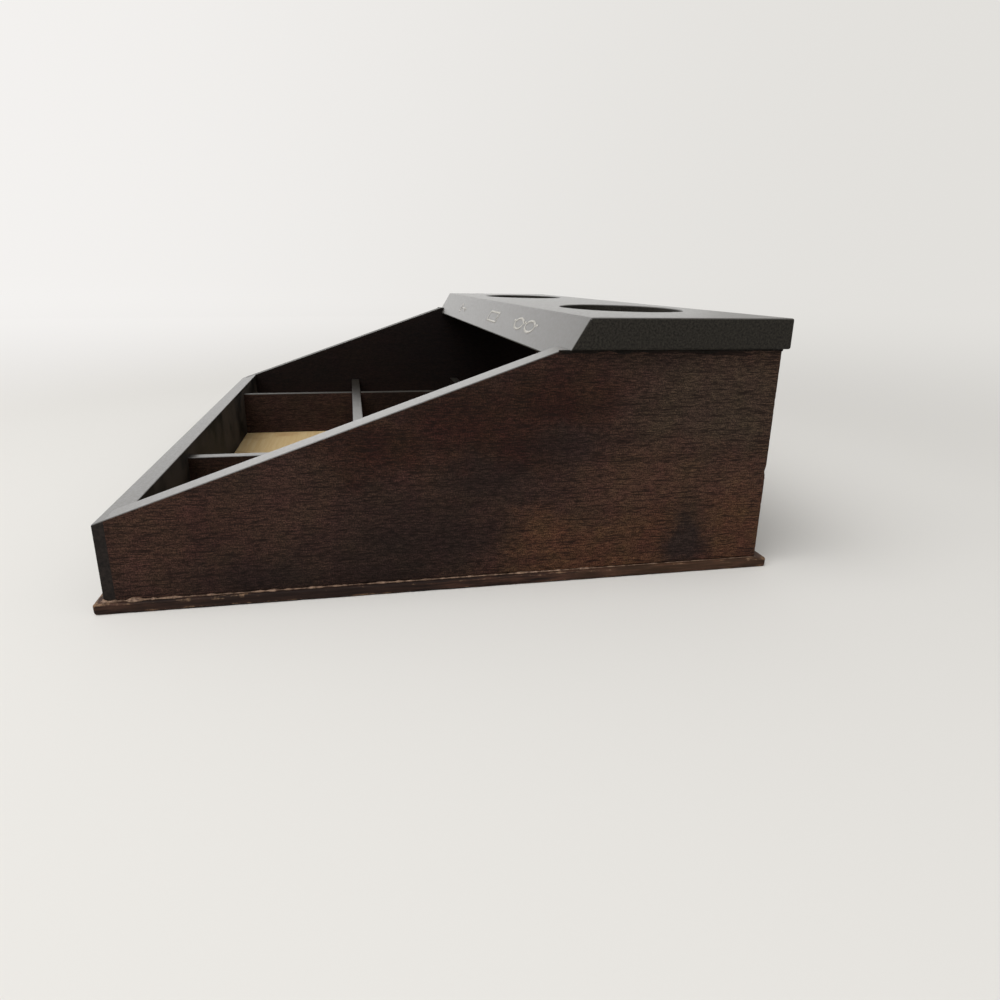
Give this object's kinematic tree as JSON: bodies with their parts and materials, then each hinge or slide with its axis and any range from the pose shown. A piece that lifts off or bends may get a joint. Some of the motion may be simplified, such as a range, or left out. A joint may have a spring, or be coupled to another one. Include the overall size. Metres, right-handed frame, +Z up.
{
  "type": "valet organizer",
  "caption": "Low wooden desk tray with sloped side panels, open divided compartments and a raised black rear shelf with oval drop-in holes, for keys, phone, glasses and small items.",
  "frame": {"origin": "on the surface it stands on, under the middle of its bounding box", "axes": "+X to the right side as seen from the low front, +Y towards the shelf at the back, +Z up"},
  "size_m": [0.3664, 0.2574, 0.1009],
  "materials": {
    "stained_wood": "dark brown stain, satin",
    "black_paint": "satin black paint on wood",
    "stained_plywood": "plywood, stained edges, bare pale floor",
    "dowel_wood": "bare beech",
    "zinc_steel": "zinc plated"
  },
  "bodies": {
    "root": {"base_plate": "stained_plywood", "left_side_panel": "stained_wood", "right_side_panel": "stained_wood", "front_rail": "black_paint", "back_panel": "stained_wood", "top_shelf": "black_paint", "left_long_divider": "stained_wood", "right_long_divider": "stained_wood", "front_cross_divider": "stained_wood", "rear_cross_divider": "stained_wood", "base_screw_1": "zinc_steel", "base_screw_2": "zinc_steel", "base_screw_3": "zinc_steel", "base_screw_4": "zinc_steel", "base_screw_5": "zinc_steel", "base_screw_6": "zinc_steel", "base_screw_7": "zinc_steel", "base_screw_8": "zinc_steel", "shelf_dowel_1": "dowel_wood", "shelf_dowel_2": "dowel_wood", "shelf_dowel_3": "dowel_wood", "shelf_dowel_4": "dowel_wood"}
  },
  "joints": []
}
